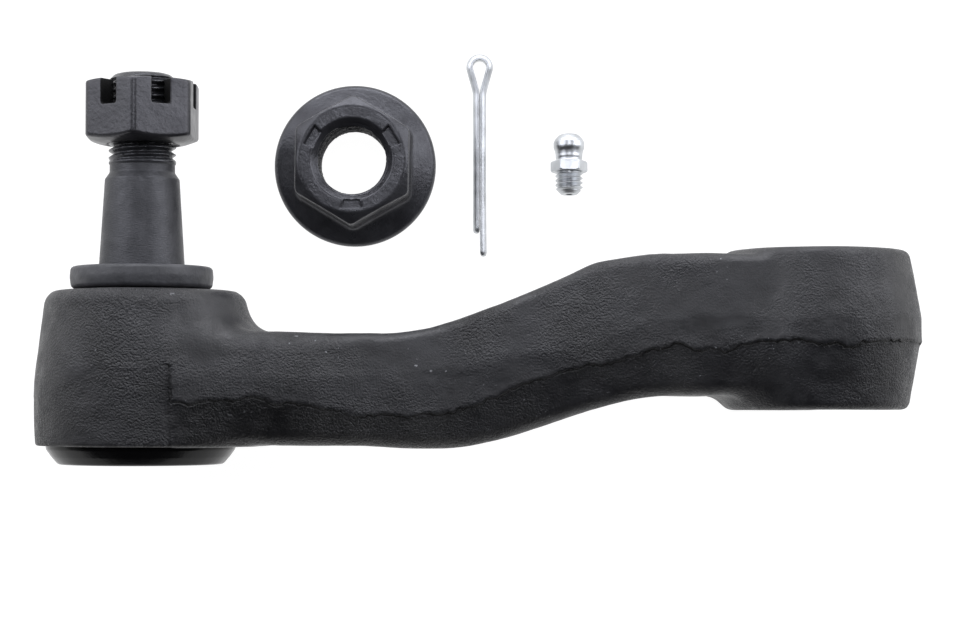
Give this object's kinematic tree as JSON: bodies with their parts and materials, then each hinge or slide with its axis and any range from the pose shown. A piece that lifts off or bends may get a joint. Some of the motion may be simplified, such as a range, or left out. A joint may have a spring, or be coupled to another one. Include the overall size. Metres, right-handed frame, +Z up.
{
  "type": "steering arm with ball stud",
  "caption": "Forged steering arm: a spring-loaded tapered ball stud in one end, a serrated shaft boss at the other, with its nuts, cotter pin and grease fitting.",
  "frame": {"origin": "the middle of the serrated bore, on its axis", "axes": "+X from the ball stud to the boss, +Y along the bore and the stud towards the stud's thread, +Z up from the table the arm lies on"},
  "size_m": [0.1844, 0.0882, 0.0457],
  "materials": {
    "coated_forging": "satin black coat over forged steel",
    "coated_plate": "satin black coat over stamped steel",
    "spring_steel": "oiled spring steel",
    "bearing_steel": "ground hardened steel",
    "sintered_bronze": "sintered, oiled",
    "seal_rubber": "moulded matt rubber",
    "stud_steel": "dark phosphate over turned steel",
    "dark_nut": "dark phosphate",
    "black_nut": "black oxide",
    "bright_zinc": "bright zinc plate",
    "zinc_fitting": "zinc plate",
    "bright_ball": "polished"
  },
  "bodies": {
    "arm": {"arm_forging": "coated_forging", "cover_plate": "coated_plate", "preload_spring": "spring_steel", "lower_bearing_cup": "bearing_steel"},
    "race": {"upper_bearing_race": "bearing_steel"},
    "half_ball": {"half_ball_bearing": "sintered_bronze", "dust_seal": "seal_rubber"},
    "stud": {"ball_stud": "stud_steel"},
    "castle_nut": {"castle_nut": "dark_nut"},
    "flange_nut": {"flange_lock_nut": "black_nut"},
    "cotter_pin": {"cotter_pin": "bright_zinc"},
    "fitting": {"grease_fitting_body": "zinc_fitting", "check_spring": "spring_steel"},
    "check_ball": {"check_ball": "bright_ball"}
  },
  "joints": [
    {"name": "race_turn", "type": "hinge", "parent": "arm", "child": "race", "pos_m": [-0.14, -0.0093, 0], "axis": [0, 1, 0], "continuous": true},
    {"name": "ball_tilt", "type": "hinge", "parent": "race", "child": "half_ball", "pos_m": [-0.14, -0.0093, 0], "axis": [1, 0, 0], "range_deg": [-10, 10], "deforming": ["dust_seal"]},
    {"name": "stud_spin", "type": "hinge", "parent": "half_ball", "child": "stud", "pos_m": [-0.14, -0.0093, 0], "axis": [0, 1, 0], "continuous": true},
    {"name": "castle_nut_travel", "type": "slide", "parent": "stud", "child": "castle_nut", "axis": [0, 1, 0], "range_m": [-0.0042, 0.018]},
    {"name": "flange_nut_lift", "type": "slide", "parent": "arm", "child": "flange_nut", "axis": [0, 0, 1], "range_m": [0, 0.06]},
    {"name": "cotter_pin_lift", "type": "slide", "parent": "arm", "child": "cotter_pin", "axis": [0, 0, 1], "range_m": [0, 0.06]},
    {"name": "fitting_lift", "type": "slide", "parent": "arm", "child": "fitting", "axis": [0, 0, 1], "range_m": [0, 0.06]},
    {"name": "check_ball_press", "type": "slide", "parent": "fitting", "child": "check_ball", "axis": [0, -0.9962, 0.0872], "range_m": [0, 0.0008], "stiffness_N_per_m": 200, "springref_m": -0.0005, "deforming": ["check_spring"]}
  ]
}
